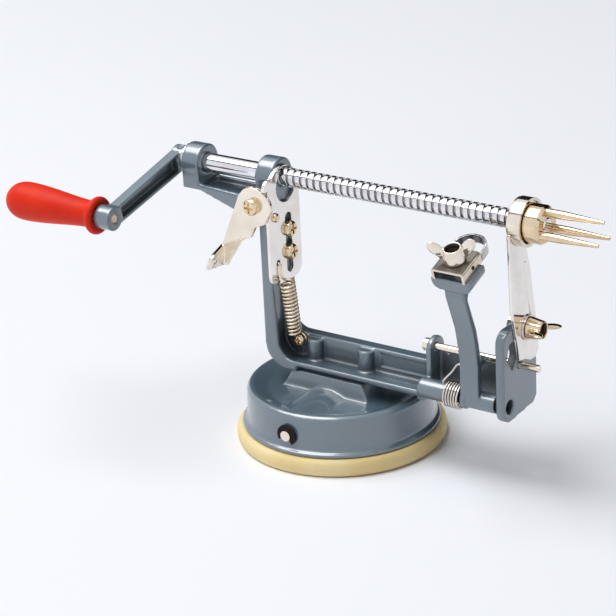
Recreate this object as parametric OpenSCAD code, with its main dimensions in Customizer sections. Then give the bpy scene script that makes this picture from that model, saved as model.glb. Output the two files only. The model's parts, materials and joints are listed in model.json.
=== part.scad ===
// Hand-cranked apple peeler on a suction base. Millimetres, +Z up, +X along the spindle to the fork.
// The origin lies on the table under the middle of the base.

/* [Base] */
// Diameter of the rubber pad
pad_d = 104; // [98:1:110]
// Height of the pad's seat for the housing
pad_h = 8.6; // [8:0.1:9.2]
// How far the housing's foot stays inside the pad's edge
foot_in = 3.1; // [2.5:0.1:4]
// How far the housing's wall stays inside its foot
wall_in = 2.4; // [2:0.1:3.2]
// Height of the housing's rim
rim_z = 29; // [28.5:0.5:30.5]
// Height of the seat that carries the frame
seat_z = 34.5; // [33.5:0.5:36]
// Length of the seat
seat_l = 40.4; // [38:0.4:44]
// Width of the seat
seat_w = 21.8; // [20:0.2:24]
// Wall of the housing
shell = 3.2; // [2.8:0.1:3.6]

/* [Suction] */
// Diameter of the cam shaft
shaft_d = 5.3; // [4.8:0.1:5.8]
// Height of the cam shaft's axis
shaft_z = 18; // [17.6:0.1:18.2]
// Rise of the pad's middle over the lever's quarter turn
pad_lift = 2.5; // [2:0.1:2.7]
// Radius of the eccentric collar
cam_r = 5.2; // [4.8:0.1:5.4]
// Length of the suction lever from its shaft
suction_l = 44; // [38:1:50]

/* [Frame] */
// Height of the spindle's axis
spindle_z = 130; // [127:1:134]
// Outer diameter of the two spindle lugs
lug_d = 18.4; // [17:0.2:20]
// Length of each lug
lug_l = 10; // [8:0.5:11]
// Distance between the outer faces of the lugs
lug_span = 54.4; // [50:0.4:60]
// Place of the column's inner face, left of the base's middle
column_x = 28.9; // [28:0.1:30]
// Depth of the column's channel
column_t = 6; // [5.5:0.1:7]
// Width of the channel section
channel_w = 20; // [19:0.5:22]
// Thickness of the channel's outer skin
skin = 3; // [2.4:0.1:3.4]
// Height of the bar's front lip above the seat
lip_h = 4.8; // [4:0.1:5.4]
// Height of the bar's web above the seat
web_h = 15; // [14.5:0.5:16.5]
// Thickness of the web
web_t = 6.5; // [5.5:0.1:7]
// Place of the right plate's outer face, right of the base's middle
plate_x = 102; // [99:0.5:106]
// Thickness of the right plate
plate_t = 4.7; // [4:0.1:5.5]
// Width of the right plate
plate_w = 31; // [30:0.5:34]
// Height of the right plate above the seat
plate_h = 52; // [50:0.5:55]
// Height of the right plate's front shoulder above the seat
shoulder_h = 44.3; // [43.5:0.1:45.5]

/* [Spindle] */
// Diameter of the spindle's plain journal
journal_d = 9.5; // [9:0.1:10]
// Travel of the spindle for one turn
pitch = 3.9; // [3.7:0.1:4.2]
// Depth of the thread's groove
groove_depth = 0.95; // [0.8:0.05:1.1]
// Width of the groove at the crests
groove_w = 1.6; // [1.5:0.1:1.8]

/* [Crank] */
// Distance from the spindle to the grip
crank_l = 59.2; // [55:0.1:64]
// Angle of the crank below level, at rest
crank_angle = 12.7; // [0:0.1:30]
// Length of the grip
grip_l = 57.4; // [54:0.2:64]
// Largest diameter of the grip
grip_d = 19.2; // [18:0.2:21]
// Diameter of the grip's pin
grip_pin_d = 4.4; // [4:0.1:5]

/* [Half nut] */
// Thickness of the half-nut plate
nut_t = 2; // [1.6:0.1:2.2]
// Width of the half-nut plate
nut_w = 26; // [25:0.5:27]
// Lift that frees the thread
nut_lift = 1.5; // [1.3:0.1:1.6]
// Thickness of the release lever
lever_t = 2; // [1.6:0.1:2.4]
// Base radius of the lever's cam
lever_cam_r = 9.4; // [9.2:0.1:9.6]
// Wire of the half-nut spring
nut_wire_d = 1.3; // [1.1:0.1:1.4]
// Outer diameter of the half-nut spring
nut_coil_d = 8; // [7.6:0.1:8.4]
// Turns of the half-nut spring
nut_coils = 14; // [12:1:14]

/* [Peeling arm] */
// Height of the arm's pivot above the seat
pivot_h = 5.9; // [5.7:0.1:6.3]
// Distance of the arm's pivot in front of the spindle
pivot_out = 10; // [9.6:0.1:10.4]
// Diameter of the pivot pin
pivot_d = 6.9; // [6.4:0.1:7.2]
// Width of the arm
arm_w = 10; // [9:0.1:11]
// Thickness of the arm
arm_t = 4; // [3.6:0.1:4.6]
// Tilt of the arm's head
head_tilt = 20; // [18:0.5:22]
// Width of the arm's head
head_w = 20.6; // [20.2:0.1:22]
// Sheet of the blade holder
holder_t = 1.3; // [1:0.1:1.4]
// Strip of the peeling blade
blade_t = 1; // [0.8:0.1:1.1]
// Wire of the torsion spring
twist_wire_d = 1.3; // [1.2:0.05:1.4]
// Turns of the torsion spring
twist_coils = 5; // [4:1:5]

/* [Corer] */
// Outer diameter of the coring ring
ring_d = 23.2; // [22.8:0.1:24]
// Wall of the coring ring
ring_t = 1.5; // [1.2:0.1:1.6]
// Length of the coring ring
ring_l = 6.8; // [6:0.1:7.5]
// Thickness of the slicer blade
slicer_t = 1.8; // [1.5:0.1:2.2]
// Diameter of the corer's bolt
bolt_d = 5; // [4.6:0.1:5.4]
// Diameter of the stop rod
rod_d = 3.6; // [3.2:0.1:3.8]
// Diameter of the fork's hub
fork_d = 18.6; // [18:0.1:19]
// Diameter of a tine at the hub
tine_d = 4.1; // [3.8:0.1:4.4]
// Free length of a tine
tine_l = 29; // [26:0.5:34]

/* [Clearances] */
// Radial clearance of turning fits
run_gap = 0.05; // [0.03:0.01:0.08]
// Gap between faces that slide on each other
slide_gap = 0.1; // [0.08:0.02:0.14]
// Radial clearance of fixed pins and screws
fit_gap = 0.03; // [0.02:0.01:0.05]

/* [Hidden] */
$fn = 64;
paint = "slategray";
chrome = "gainsboro";
nickel = "tan";

// Base
pad_r = pad_d/2;
foot_r = pad_r - foot_in;
wall_r = foot_r - wall_in;
floor_z = rim_z - 2.8;
seat_y = -0.9;
seat_slant = 5;
pad_edge = 2.6;
pad_hub_z = 6.8;
membrane_z = 5.6;
stud_r = 12;
stud_t = 2.4;

// Suction shaft, with the cam's offset that gives the lift over a quarter turn
shaft_r = shaft_d/2;
cam_off = pad_lift/sqrt(2);
cam_play = 0.15;
yoke_x = 9.5;
yoke_t = 3;
yoke_w = 7;
suction_y = foot_r + 0.5;
suction_t = 3;
suction_hub_y = wall_r + 1.1;

// Frame, with the channel's section and the column's faces
col_in = -column_x;
col_out = col_in - column_t;
lug_x = col_in - lug_span;
channel_y0 = -3 - channel_w/2;
channel_y1 = -3 + channel_w/2;
lip_t = 2.5;
rim_low = 2.4;
rim_in = 3.2;
rim_x = -17;
web_y = channel_y1 - web_t;
corner_r = 12;
arm_top = spindle_z - 9;
arm_low = spindle_z - 12;
arm_deep = spindle_z - 21.5;
arm_half = 8.6;
trough_d = 2.2;
bar_end = plate_x - plate_t - 43.7;
ear_t = 3;
bridge_t = 4;
bridge_top = seat_z + 21.3;
pivot_y = -pivot_out;
pivot_z = seat_z + pivot_h;
stub_r = 5;
stub_end = bar_end + 17.5;
rod_y = -1;
rod_z = seat_z + 24.1;
bolt_y = 4.1;
bolt_z = seat_z + 41.5;
boss_x = [-13.1, 16.4];
boss_y = web_y - 1;
boss_r = 4.2;
screw_r = 2;
spring_x = col_in + 8.1;
spring_z = seat_z + 12.5;
spring_boss_y = -0.6;
spring_boss_r = 3.4;
spring_hole_r = 1.5;
gusset_r = 9.2;
lever_x = col_in - 5.4;
lever_z = spindle_z - 10.8;
lever_boss_y = channel_y0 - 2.7;
lever_boss_r = 5.2;
lever_pin_r = 3;
lever_hole_r = 1.9;
guide_y = 0.5;
guide_z = [spindle_z - 26.8, spindle_z - 38.7];
slot_z = [spindle_z - 21.1, spindle_z - 46.6];
plate_step = seat_z + shoulder_h;
plate_tongue = 2.4;

// Spindle, with the groove's middle under the half-nut's tooth at rest
crest_r = journal_d/2 - 0.05;
root_r = journal_d/2 - groove_depth;
nut_x = col_in + slide_gap;
tooth_x = nut_x + nut_t/2;
thread_x = tooth_x + pitch/2;
thread_seg = 12;
hub_x = plate_x + 3;
hub_l = 12;
thread_end = hub_x - 1.8;
thread_turns = floor((thread_end - thread_x)/pitch);
spindle_end = hub_x + hub_l + 0.4;

// Crank
washer_t = 1;
washer_x = lug_x - slide_gap - washer_t;
crank_t = 8.1;
crank_x = washer_x - crank_t;
crank_r = 6.2;
crank_boss_r = 6;
crank_face = washer_x - 2.6;
crank_arm_t = 5.6;
crank_half = 5.4;
crank_end_half = 4.6;
crank_wall = 1.5;
crank_pin_r = 1.5;
grip_x = washer_x - 11.4;
grip_pin_r = grip_pin_d/2;

// Half nut
nut_y = -2.5;
nut_top_r = nut_w/2;
nut_low = spindle_z - 53;
hook_y = -9.4;
hook_z = spindle_z - 41.5;
ear_z = lever_z + sqrt(pow(lever_cam_r, 2) - pow(nut_x - lever_x, 2)) + 0.25;
lever_y = lever_boss_y - slide_gap - lever_t;
cam_from = -6;
cam_to = 54;
cam_rise = 0.83*nut_lift;

// Peeling arm and its head
arm_x = plate_x - 19.4;
arm_hub_x = arm_x - 5;
arm_hub_l = 18;
arm_hub_r = 4.6;
arm_front = pivot_y - arm_hub_r;
head_y = -22;
head_z = spindle_z - 20.5;
head_l = 14.7;
head_h = 6.5;
holder_h = 6;
holder_back = 8.6;
holder_w = 14.4 + 2*holder_t;
blade_leg = holder_w/2 - holder_t - blade_t/2 - slide_gap;
blade_far = 20.9;
blade_top = 4.9;
nut_base_r = 5.4;
nut_cap_r = 4.4;
nut_h = 7.6;
nut_span = 23.8;
stud_d = 5;
stud_low = 1 - head_h;

// Corer
slicer_x = plate_x + slide_gap/2;
washer_r = 6.2;
corer_nut_x = slicer_x + slicer_t + washer_t + slide_gap;

function arc(x, y, r, a0, a1, n = 10) =
  [for (i = [0 : n]) let (a = a0 + (a1 - a0)*i/n) [x + r*cos(a), y + r*sin(a)]];

// A tube of six sides along a path, with its frame carried from point to point
tube_sides = 6;
function unit(v) = v/norm(v);
function heading(p, i) = unit(p[min(i + 1, len(p) - 1)] - p[max(i - 1, 0)]);
function square_to(v, t) = unit(v - (v*t)*t);
function carried(p, v0) = [
  for (i = 0, v = square_to(v0, heading(p, 0));
       i < len(p);
       i = i + 1, v = i < len(p) ? square_to(v, heading(p, i)) : v) v
];
function tube_points(p, r, v0) =
  let (across_dir = carried(p, v0))
  [for (i = [0 : len(p) - 1])
    let (t = heading(p, i), v = across_dir[i], w = cross(t, v))
    for (k = [0 : tube_sides - 1])
      let (a = 360*k/tube_sides)
      p[i] + r*(cos(a)*v + sin(a)*w)];
function tube_faces(n) = concat(
  [for (k = [1 : tube_sides - 2]) [0, k, k + 1]],
  [for (i = [0 : n - 2])
    for (k = [0 : tube_sides - 1])
      let (a = tube_sides*i + k, b = tube_sides*i + (k + 1)%tube_sides)
      each [[a, a + tube_sides, b + tube_sides], [a, b + tube_sides, b]]],
  [for (k = [1 : tube_sides - 2])
    let (e = tube_sides*(n - 1))
    [e, e + k + 1, e + k]]
);
module tube(p, r, v0) polyhedron(tube_points(p, r, v0), tube_faces(len(p)), convexity = 20);
function least_gap(p, apart, d) =
  min([for (i = [0 : len(p) - 1 - apart]) for (j = [i + apart : len(p) - 1]) norm(p[i] - p[j])]) - d;

// Path of the half-nut spring: a hook through the plate, the coil, and a loop round the lower screw
curl_rings = 8;
twist_r = (stub_r + twist_wire_d/2 + 0.25)/cos(180/curl_rings);
coil_r = (nut_coil_d - nut_wire_d)/2;
hook_r = 2.2;
coil_top = [nut_x + nut_t/2 + hook_r + coil_r, hook_y, nut_low + 2.3];
loop_r = 2.6;
loop_y = spring_boss_y - 1;
coil_low = [spring_x - 1.8, loop_y - 3.5, spring_z + 4.2];
coil_axis = unit(coil_low - coil_top);
coil_u = square_to([-1, 0, 0], coil_axis);
coil_v = cross(coil_axis, coil_u);
coil_len = norm(coil_low - coil_top);
coil_end = 360*nut_coils;
nut_spring_path = concat(
  [[nut_x + nut_t/2 - hook_r, hook_y, hook_z - hook_r - nut_wire_d]],
  [for (a = [180 : -36 : 0]) [nut_x + nut_t/2 + hook_r*cos(a), hook_y, hook_z - hook_r + hook_r*sin(a)]],
  [for (i = [0 : coil_end/360*curl_rings])
    let (a = 360*i/curl_rings)
    coil_top + coil_axis*coil_len*a/coil_end + coil_r*(cos(a)*coil_u + sin(a)*coil_v)],
  [for (a = [180 : 45 : 450]) [spring_x + loop_r*cos(a), loop_y, spring_z + loop_r*sin(a)]]
);
nut_spring_gap = least_gap(nut_spring_path, curl_rings - 2, nut_wire_d);

// Path of the torsion spring: a leg on the bridge, the coil round the pivot, and a leg on the arm
twist_x1 = arm_hub_x - twist_wire_d/2 - 0.3;
twist_x0 = stub_end - 3.1;
twist_leg_z = pivot_z + 17.5;
twist_leg_y = arm_front + arm_t/2;
twist_turn = 360*twist_coils;
twist_path = concat(
  [[twist_x1, channel_y1 - bridge_t - slide_gap, pivot_z + twist_r]],
  [[twist_x1, (channel_y1 - bridge_t + pivot_y)/2, pivot_z + twist_r]],
  [for (i = [0 : twist_coils*curl_rings])
    let (a = 90 + 360*i/curl_rings)
    [twist_x1 + (twist_x0 - twist_x1)*i/(twist_coils*curl_rings),
     pivot_y + twist_r*cos(a), pivot_z + twist_r*sin(a)]],
  [[twist_x0 + 1, twist_leg_y - 3.2, pivot_z + twist_r + 1.6],
   [(twist_x0 + arm_x - arm_w/2)/2, twist_leg_y - 1, twist_leg_z - 5],
   [arm_x - arm_w/2 - 2*twist_wire_d, twist_leg_y, twist_leg_z],
   [arm_x - arm_w/2 - slide_gap, twist_leg_y, twist_leg_z]]
);
twist_gap = least_gap(twist_path, curl_rings - 2, twist_wire_d);
echo(half_nut_spring_least_gap = nut_spring_gap, torsion_spring_least_gap = twist_gap);

// Cylinders and extrusions along the part's axes
module along_x(x0, x1, r, y, z) translate([x0, y, z]) rotate([0, 90, 0]) cylinder(r = r, h = x1 - x0);
module along_y(y0, y1, r, x, z) translate([x, y1, z]) rotate([90, 0, 0]) cylinder(r = r, h = y1 - y0);
module side(y0, y1) translate([0, y1, 0]) rotate([90, 0, 0]) linear_extrude(y1 - y0) children();
module across(x0, x1) translate([x0, 0, 0]) rotate([90, 0, 90]) linear_extrude(x1 - x0) children();
module turned_x(x, y, z) translate([x, y, z]) rotate([0, 90, 0]) rotate_extrude() children();

// Cross recess of a screw head, cut down from the origin along -Z
module cross_recess(head_r) {
  for (a = [0, 90])
    rotate(a)
      translate([-head_r*0.62, -head_r*0.13, -head_r*0.35])
        cube([head_r*1.24, head_r*0.26, head_r]);
}

// Round-headed screw pointing down from its seat at the origin, with a shoulder and a thinner end
module headed_screw(head_r, head_h, shoulder_r, shoulder_l, end_r, end_l) {
  difference() {
    rotate_extrude()
      polygon(concat([[0, 0], [head_r, 0], [head_r, head_h*0.45]],
                     arc(head_r*0.55, head_h*0.45, head_r*0.45, 0, 80, 6), [[0, head_h]]));
    translate([0, 0, head_h]) cross_recess(head_r);
  }
  translate([0, 0, -shoulder_l]) cylinder(r = shoulder_r, h = shoulder_l);
  translate([0, 0, -shoulder_l - end_l]) cylinder(r = end_r, h = end_l);
}

// Wing nut standing on the origin, with wings along X that rise past its cap
module wing_nut(base_r, cap_r, h, bore_r, span) {
  tip_r = 3.1;
  tip_x = span/2 - tip_r;
  tip_z = h + 2.2;
  wing_half = 1.1;
  mouth = 2.6;
  difference() {
    union() {
      cylinder(r1 = base_r, r2 = cap_r, h = h);
      for (s = [0, 180])
        rotate(s)
          side(-wing_half, wing_half) {
            translate([tip_x, tip_z]) circle(tip_r);
            polygon([[cap_r - 0.6, h*0.2], [tip_x + tip_r*0.83, tip_z - tip_r*0.56],
                     [tip_x - tip_r*0.72, tip_z + tip_r*0.7], [cap_r - 0.6, h*0.85]]);
          }
    }
    translate([0, 0, -1]) cylinder(r = bore_r, h = h + 2);
    translate([0, 0, h - mouth]) cylinder(r1 = bore_r, r2 = cap_r - 0.7, h = mouth + 0.01);
  }
}

module suction_pad() {
  color("wheat")
    rotate_extrude()
      polygon(concat(
        [[0, 0], [pad_r - pad_edge, 0]],
        [for (a = [-75 : 15 : 75]) [pad_r - pad_edge + pad_edge*cos(a), pad_h/2 + pad_h/2*sin(a)]],
        [[pad_r - pad_edge, pad_h], [pad_r - 13, pad_h], [pad_r - 17, membrane_z], [stud_r + 6, membrane_z],
         [stud_r + 3, pad_hub_z], [0, pad_hub_z]]
      ));
}

module pad_stud() {
  yoke_top = shaft_z - cam_off/sqrt(2) + cam_r + cam_play;
  color("silver") {
    translate([0, 0, pad_hub_z]) cylinder(r = stud_r, h = stud_t);
    side(-yoke_w/2, yoke_w/2)
      difference() {
        translate([-yoke_x - yoke_t, pad_hub_z + stud_t])
          square([2*(yoke_x + yoke_t), yoke_top + yoke_t - pad_hub_z - stud_t]);
        translate([-yoke_x, pad_hub_z + stud_t - 1]) square([2*yoke_x, yoke_top - pad_hub_z - stud_t + 1]);
      }
  }
}

// Turned shell of the housing: foot, fillet, drafted wall, rolled rim and dished top
module housing_shell() {
  roof = floor_z - shell;
  rotate_extrude()
    polygon(concat(
      [[foot_r, pad_h], [foot_r, pad_h + 2]],
      arc(wall_r + wall_in, pad_h + 2 + wall_in, wall_in, 270, 180, 6),
      arc(wall_r - 3.2, rim_z - 2.8, 2.8, 10, 110, 8),
      [[wall_r - 11, floor_z], [0, floor_z], [0, roof], [wall_r - shell - 6, roof]],
      arc(wall_r - shell - 6, roof - 5, 5, 90, 10, 5),
      [[wall_r - shell, pad_h + 2 + wall_in], [foot_r - shell - 1, pad_h]]
    ));
}

module seat_block() {
  half_l = seat_l/2;
  half_w = seat_w/2;
  low = floor_z - 1;
  intersection() {
    side(-pad_r, pad_r)
      polygon([[-half_l - seat_slant, low], [half_l + seat_slant, low], [half_l, seat_z], [-half_l, seat_z]]);
    across(-pad_r, pad_r)
      polygon([[seat_y - half_w - 2, low], [seat_y + half_w + 2, low], [seat_y + half_w, seat_z],
               [seat_y - half_w, seat_z]]);
  }
}

module base_housing() {
  color(paint)
    difference() {
      union() {
        housing_shell();
        seat_block();
        for (s = [-1, 1])
          along_y(s*(wall_r - 5) - 4, s*(wall_r - 5) + 4, shaft_r + 3, 0, shaft_z);
      }
      translate([-seat_l/2 + 0.3, seat_y - seat_w/2 + shell, floor_z - shell - 1])
        cube([seat_l - 0.6, seat_w - 2*shell, seat_z - floor_z + 1]);
      along_y(-pad_r, pad_r, shaft_r + run_gap, 0, shaft_z);
      for (x = boss_x)
        translate([x, boss_y, 0]) cylinder(r = screw_r + fit_gap, h = seat_z + 1);
    }
}

clip_y = -wall_r - 0.3;
clip_t = 0.9;
clip_groove = 0.45;

module cam_shaft() {
  color("silver")
    difference() {
      along_y(clip_y - clip_t - 1, suction_y + suction_t + 1, shaft_r, 0, shaft_z);
      difference() {
        along_y(clip_y - clip_t, clip_y, shaft_r + 1, 0, shaft_z);
        along_y(clip_y - clip_t, clip_y, shaft_r - clip_groove, 0, shaft_z);
      }
      translate([0, suction_hub_y + 1.2, shaft_z - 10]) cylinder(r = 1, h = 20);
    }
}

module suction_cam() {
  color("gray")
    difference() {
      along_y(-4.5, 4.5, cam_r, -cam_off/sqrt(2), shaft_z - cam_off/sqrt(2));
      along_y(-5, 5, shaft_r + fit_gap, 0, shaft_z);
    }
}

module shaft_clip() {
  color("black")
    translate([0, clip_y - slide_gap/2, shaft_z])
      rotate([90, 0, 0])
        linear_extrude(clip_t - slide_gap)
          difference() {
            circle(shaft_r*2);
            circle(shaft_r - clip_groove + fit_gap);
            polygon([[0, 0], [-10, -6.5], [-10, -12], [7, -12]]);
          }
}

module suction_lever() {
  color("tan")
    difference() {
      union() {
        side(suction_y, suction_y + suction_t) {
          translate([0, shaft_z]) circle(6.4);
          translate([-suction_l + 5, shaft_z - 4.5]) square([suction_l - 5, 9]);
          translate([-suction_l + 5, shaft_z]) circle(5);
        }
        along_y(suction_hub_y, suction_y + 0.5, 4.6, 0, shaft_z);
      }
      along_y(suction_hub_y - 1, suction_y + suction_t + 1, shaft_r + fit_gap, 0, shaft_z);
      translate([0, suction_hub_y + 1.2, shaft_z - 10]) cylinder(r = 1, h = 20);
    }
}

module lever_pin() {
  color("silver")
    translate([0, suction_hub_y + 1.2, shaft_z - 4.5]) cylinder(r = 1 - fit_gap, h = 9);
}

// Outer edge of the column and bar in side view, from the column's top to the bar's end
function channel_edge() = concat(
  [[col_out, arm_top]],
  arc(col_out + corner_r, seat_z + corner_r, corner_r, 180, 270, 8),
  [[bar_end + ear_t, seat_z]]
);

module channel() {
  inner_r = corner_r - skin;
  fillet = 8;
  side(channel_y0, channel_y1)
    polygon(concat(channel_edge(), [[bar_end + ear_t, seat_z + skin]],
                   arc(col_out + corner_r, seat_z + corner_r, inner_r, 270, 180, 8), [[col_out + skin, arm_top]]));
  side(channel_y0, channel_y0 + lip_t)
    polygon(concat(channel_edge(), [[bar_end + ear_t, seat_z + lip_h]],
                   arc(col_in + 1.6 + fillet, seat_z + lip_h + fillet, fillet, 270, 180, 6),
                   [[col_in, nut_low - 2], [col_in, arm_top]]));
  side(web_y, channel_y1)
    polygon(concat(channel_edge(), [[bar_end + ear_t, seat_z + web_h]],
                   arc(col_in + fillet, seat_z + web_h + fillet, fillet, 270, 180, 6), [[col_in, arm_top]]));
}

module top_arm() {
  lug_in = lug_x + lug_l;
  difference() {
    intersection() {
      side(-30, 30)
        polygon([[lug_x, arm_low], [lug_in, arm_low], [col_out, arm_deep], [col_in, arm_deep], [col_in, arm_top],
                 [lug_x, arm_top]]);
      linear_extrude(spindle_z)
        polygon([[lug_x, -arm_half], [lug_in, -arm_half], [col_out, channel_y0], [col_in, channel_y0],
                 [col_in, channel_y1], [col_out, channel_y1], [lug_in, arm_half], [lug_x, arm_half]]);
    }
    translate([0, 0, arm_top - trough_d])
      linear_extrude(trough_d + 1)
        polygon([[lug_in + 1, -arm_half + 2.4], [col_out - 5.6, channel_y0 + 3.6], [col_out - 5.6, channel_y1 - 2.4],
                 [lug_in + 1, arm_half - 2.4]]);
    linear_extrude(arm_top - trough_d - 2.6)
      polygon([[lug_in + 6, -arm_half + 3.4], [col_out - 5.6, channel_y0 + 4], [col_out - 5.6, channel_y1 - 3.4],
               [lug_in + 6, arm_half - 3.4]]);
  }
}

module lugs() {
  for (x = [lug_x, col_in - lug_l]) {
    along_x(x, x + lug_l, lug_d/2, 0, spindle_z);
    across(x, x + lug_l)
      polygon([[-arm_half, arm_low], [arm_half, arm_low], [lug_d/2*0.94, spindle_z - lug_d/2*0.34],
               [-lug_d/2*0.94, spindle_z - lug_d/2*0.34]]);
  }
}

// Thickened inner corner of the web round the spring's screw
module spring_gusset() {
  side(spring_boss_y, web_y + 1)
    intersection() {
      translate([spring_x, spring_z]) circle(gusset_r);
      translate([col_out + skin/2, seat_z + 1]) square([spring_x - col_out - skin/2, spring_z - seat_z]);
    }
  along_y(spring_boss_y, web_y + 1, spring_boss_r, spring_x, spring_z);
}

// Right plate in end view, with its chamfers, the front shoulder and the rounded corner at the pivot
module plate_outline() {
  half = plate_w/2;
  low = seat_z - 2;
  top = seat_z + plate_h;
  polygon(concat(
    arc(-half + 6.5, low + 6.5, 6.5, 180, 260, 6),
    [[half - 3.5, low + 1.6], [half, low + 5], [half, top - 9.5], [half - 6, top], [plate_tongue, top],
     [plate_tongue, plate_step]],
    arc(-half + 6.5, plate_step - 6.5, 6.5, 90, 180, 6)
  ));
}

module plate_window() {
  polygon([[-11.8, bolt_z - 11], [-9.5, bolt_z - 4.5], [-4.2, bolt_z - 4.5], [-2.6, bolt_z - 12.5],
           [-7.6, bolt_z - 18.4]]);
}

module bridge() {
  x0 = bar_end;
  x1 = plate_x - plate_t;
  dip = 2.4;
  low = seat_z + 0.5;
  top = bridge_top;
  side(channel_y1 - bridge_t, channel_y1)
    polygon([[x0, low], [x1 + 1, low], [x1 + 1, top], [x1 - 15.5, top], [x1 - 18.5, top - dip],
             [x1 - 21.5, top], [x0 + 10.5, top], [x0 + 7.5, top - dip], [x0 + 4.5, top], [x0, top]]);
}

module bar_ear() {
  ear_r = 6.5;
  across(bar_end, bar_end + ear_t) {
    translate([channel_y1 - 2*ear_r, seat_z]) square([2*ear_r, rod_z - seat_z - 2]);
    translate([channel_y1 - ear_r, rod_z - 2]) circle(ear_r);
  }
}

module frame() {
  color(paint)
    difference() {
      union() {
        channel();
        top_arm();
        lugs();
        bar_ear();
        bridge();
        across(plate_x - plate_t, plate_x) plate_outline();
        along_x(bar_end, stub_end, stub_r, pivot_y, pivot_z);
        for (x = boss_x)
          translate([x, boss_y, seat_z]) cylinder(r = boss_r, h = web_h - 1);
        spring_gusset();
        along_y(lever_boss_y, -6, lever_boss_r, lever_x, lever_z);
        across(col_out + skin - 1, col_in)
          translate([guide_y - 4.6, guide_z[1] - 6]) square([8, guide_z[0] - guide_z[1] + 12]);
      }
      translate([rim_x, channel_y0 - 1, seat_z - 1]) cube([bar_end - rim_x - 1, rim_in + 1, rim_low + 1]);
      along_x(lug_x - 1, col_in + 1, journal_d/2 + run_gap, 0, spindle_z);
      for (x = boss_x)
        translate([x, boss_y, seat_z - 1]) cylinder(r = screw_r + fit_gap, h = web_h - 3);
      for (z = guide_z)
        along_x(col_out + 0.8, col_in + 1, screw_r + fit_gap, guide_y, z);
      along_y(spring_boss_y - 1, web_y + 3, spring_hole_r + fit_gap, spring_x, spring_z);
      along_y(lever_boss_y - 1, lever_boss_y + 10, lever_hole_r + fit_gap, lever_x, lever_z);
      along_x(bar_end + ear_t, plate_x + 1, pivot_d/2 + fit_gap, pivot_y, pivot_z);
      along_x(bar_end - 1, plate_x + 1, rod_d/2 + fit_gap, rod_y, rod_z);
      along_x(plate_x - plate_t - 1, plate_x + 1, bolt_d/2 + fit_gap, bolt_y, bolt_z);
      across(plate_x - plate_t - 1, plate_x + 1) plate_window();
      side(web_y - 1, web_y + 0.6)
        translate([bar_end - 29.5, seat_z + 6]) square([28, 7]);
    }
}

module frame_screws() {
  color("silver")
    for (x = boss_x)
      translate([x, boss_y, seat_z - shell])
        rotate([180, 0, 0]) headed_screw(3, 2.4, screw_r, 4, screw_r, shell + web_h - 9);
}

// Feed thread: a ridge wound on the core, with a trapezoid section
function ridge_points() =
  let (top = pitch - groove_w, foot = top + 0.4, r0 = root_r - 0.3)
  [for (i = [0 : thread_turns*thread_seg])
    let (a = 90 + 360*i/thread_seg, x = thread_x + pitch*i/thread_seg, c = cos(a), s = sin(a))
    each [[x - foot/2, r0*c, r0*s], [x - top/2, crest_r*c, crest_r*s], [x + top/2, crest_r*c, crest_r*s],
          [x + foot/2, r0*c, r0*s]]];
function ridge_faces(n) = concat(
  [[3, 2, 1, 0]],
  [for (i = [0 : n - 2])
    for (k = [0 : 3])
      let (a = 4*i + k, b = 4*i + (k + 1)%4)
      each [[a, b, b + 4], [a, b + 4, a + 4]]],
  [[4*n - 4, 4*n - 3, 4*n - 2, 4*n - 1]]
);

module spindle() {
  color(chrome)
    difference() {
      union() {
        along_x(crank_x - 0.4, nut_x - slide_gap - 0.2, journal_d/2, 0, spindle_z);
        along_x(nut_x - 2, spindle_end, root_r, 0, spindle_z);
        translate([0, 0, spindle_z])
          polyhedron(ridge_points(), ridge_faces(thread_turns*thread_seg + 1), convexity = 40);
      }
      translate([0, 0, spindle_z])
        rotate([crank_angle, 0, 0])
          translate([crank_x + crank_t/2, 0, -20]) cylinder(r = crank_pin_r, h = 40);
    }
}

module crank_washer() {
  color("silver")
    difference() {
      along_x(washer_x, washer_x + washer_t, 8.2, 0, spindle_z);
      along_x(washer_x - 1, washer_x + washer_t + 1, journal_d/2 + run_gap, 0, spindle_z);
    }
}

// The crank is drawn along +Y and turned to its rest angle about the spindle
module at_crank() translate([0, 0, spindle_z]) rotate([180 + crank_angle, 0, 0]) children();
module crank_arm() {
  back = crank_face - crank_arm_t;
  near = crank_r + 0.4;
  far = crank_l - crank_boss_r;
  color(paint)
    at_crank()
      difference() {
        union() {
          along_x(crank_x, washer_x, crank_r, 0, 0);
          across(back, crank_face)
            polygon([[0, -crank_half], [crank_l, -crank_end_half], [crank_l, crank_end_half], [0, crank_half]]);
          along_x(grip_x + slide_gap, crank_face, crank_boss_r, crank_l, 0);
        }
        across(back + crank_wall, crank_face + 1)
          polygon([[near, -crank_half + crank_wall], [far, -crank_end_half + crank_wall],
                   [far, crank_end_half - crank_wall], [near, crank_half - crank_wall]]);
        along_x(crank_x - 1, washer_x + 1, journal_d/2 + fit_gap, 0, 0);
        along_x(grip_x - 1, crank_face + 1, grip_pin_r + fit_gap, crank_l, 0);
        translate([crank_x + crank_t/2, 0, -20]) cylinder(r = crank_pin_r, h = 40);
      }
}

module crank_pin() {
  color("silver")
    at_crank()
      translate([crank_x + crank_t/2, 0, -crank_r + 0.2]) cylinder(r = crank_pin_r - fit_gap, h = 2*crank_r - 0.4);
}

grip_tail = 5;
module grip_pin() {
  color("goldenrod")
    at_crank() {
      along_x(grip_x - grip_l + grip_tail, crank_face - 0.3, grip_pin_r, crank_l, 0);
      along_x(grip_x - grip_l + grip_tail, grip_x - grip_l + grip_tail + 2.4, grip_pin_r + 1.2, crank_l, 0);
    }
}

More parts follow.
